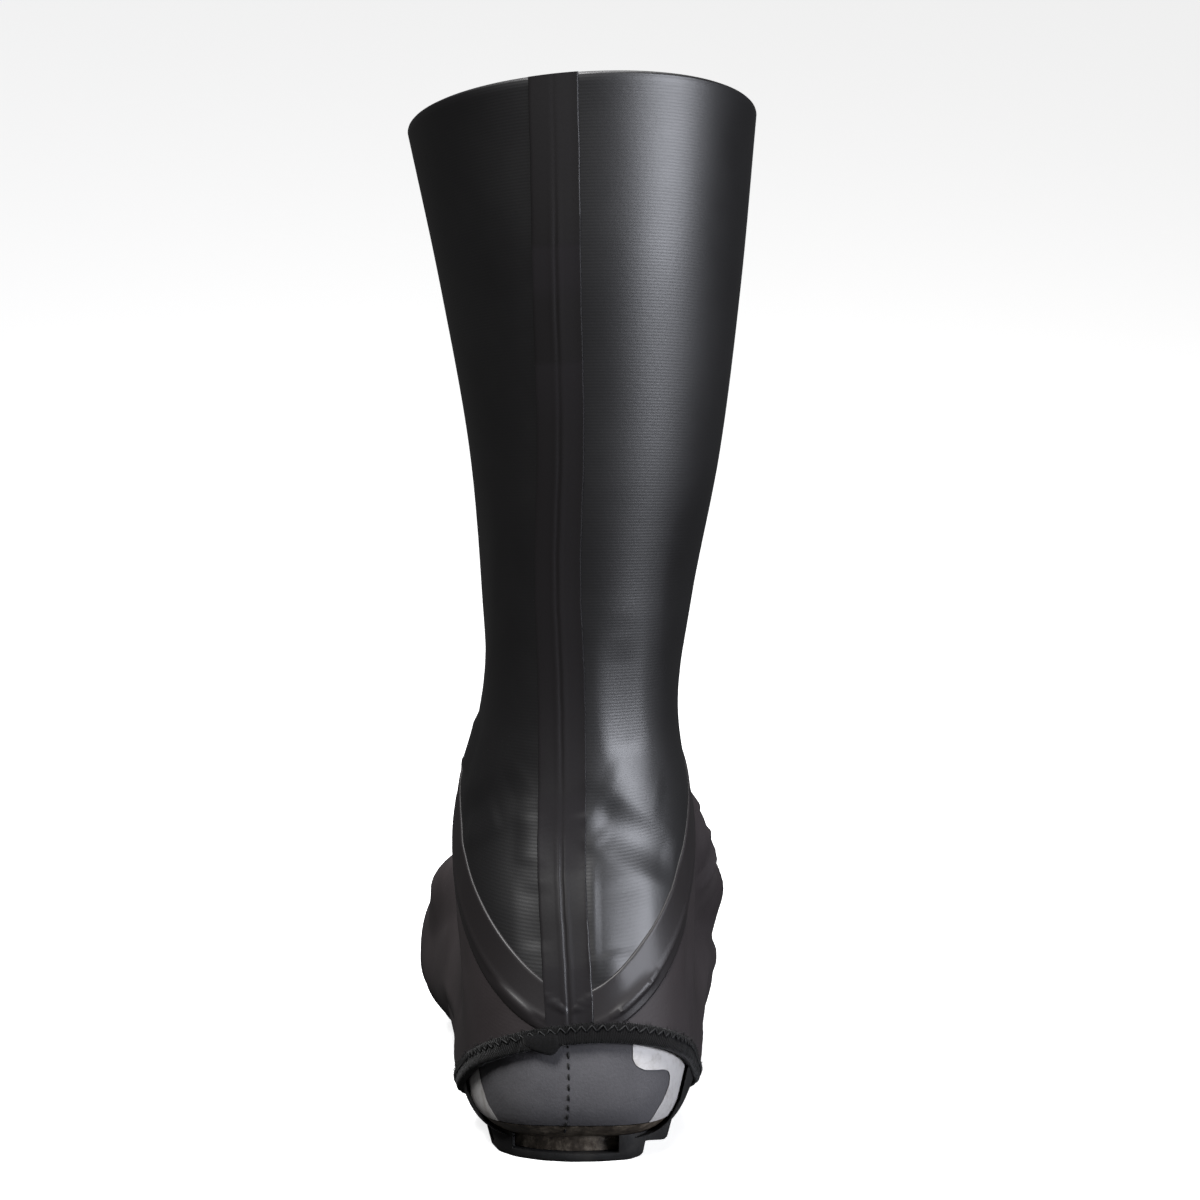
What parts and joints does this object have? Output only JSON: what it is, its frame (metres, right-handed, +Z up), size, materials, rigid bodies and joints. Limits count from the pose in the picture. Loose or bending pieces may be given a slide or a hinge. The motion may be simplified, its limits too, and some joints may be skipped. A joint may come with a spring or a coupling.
{
  "type": "cycling overshoe",
  "caption": "Calf-high rubberised cycling overshoe, right foot, standing empty on the hollow cycling shoe it covers, with taped seams and a bound heel opening.",
  "frame": {"origin": "on the floor under the middle of the heel pad", "axes": "+Z up the shaft, +Y to the toe, +X to the outer (lateral) side of the right foot"},
  "size_m": [0.1151, 0.2999, 0.341],
  "materials": {
    "film": "satin rubberised film on fabric, near black",
    "tape": "satin bonded tape, near black",
    "elastic": "matt woven elastic, black",
    "microfibre": "matt microfibre, mid grey",
    "trim": "satin, off white",
    "foam": "matt cloth over foam, dark grey",
    "sole_plate": "moulded plate, scuffed, grey brown",
    "tread_rubber": "matt black rubber"
  },
  "bodies": {
    "root": {"overshoe_upper": "film", "seam_tape_back": "tape", "seam_tape_ankle_lateral": "tape", "seam_tape_ankle_medial": "tape", "heel_binding": "elastic", "shoe_upper": "microfibre", "heel_trim_lateral": "trim", "heel_trim_medial": "trim", "insole": "foam", "outsole": "sole_plate", "heel_pad": "tread_rubber", "forefoot_tread": "tread_rubber"}
  },
  "joints": []
}
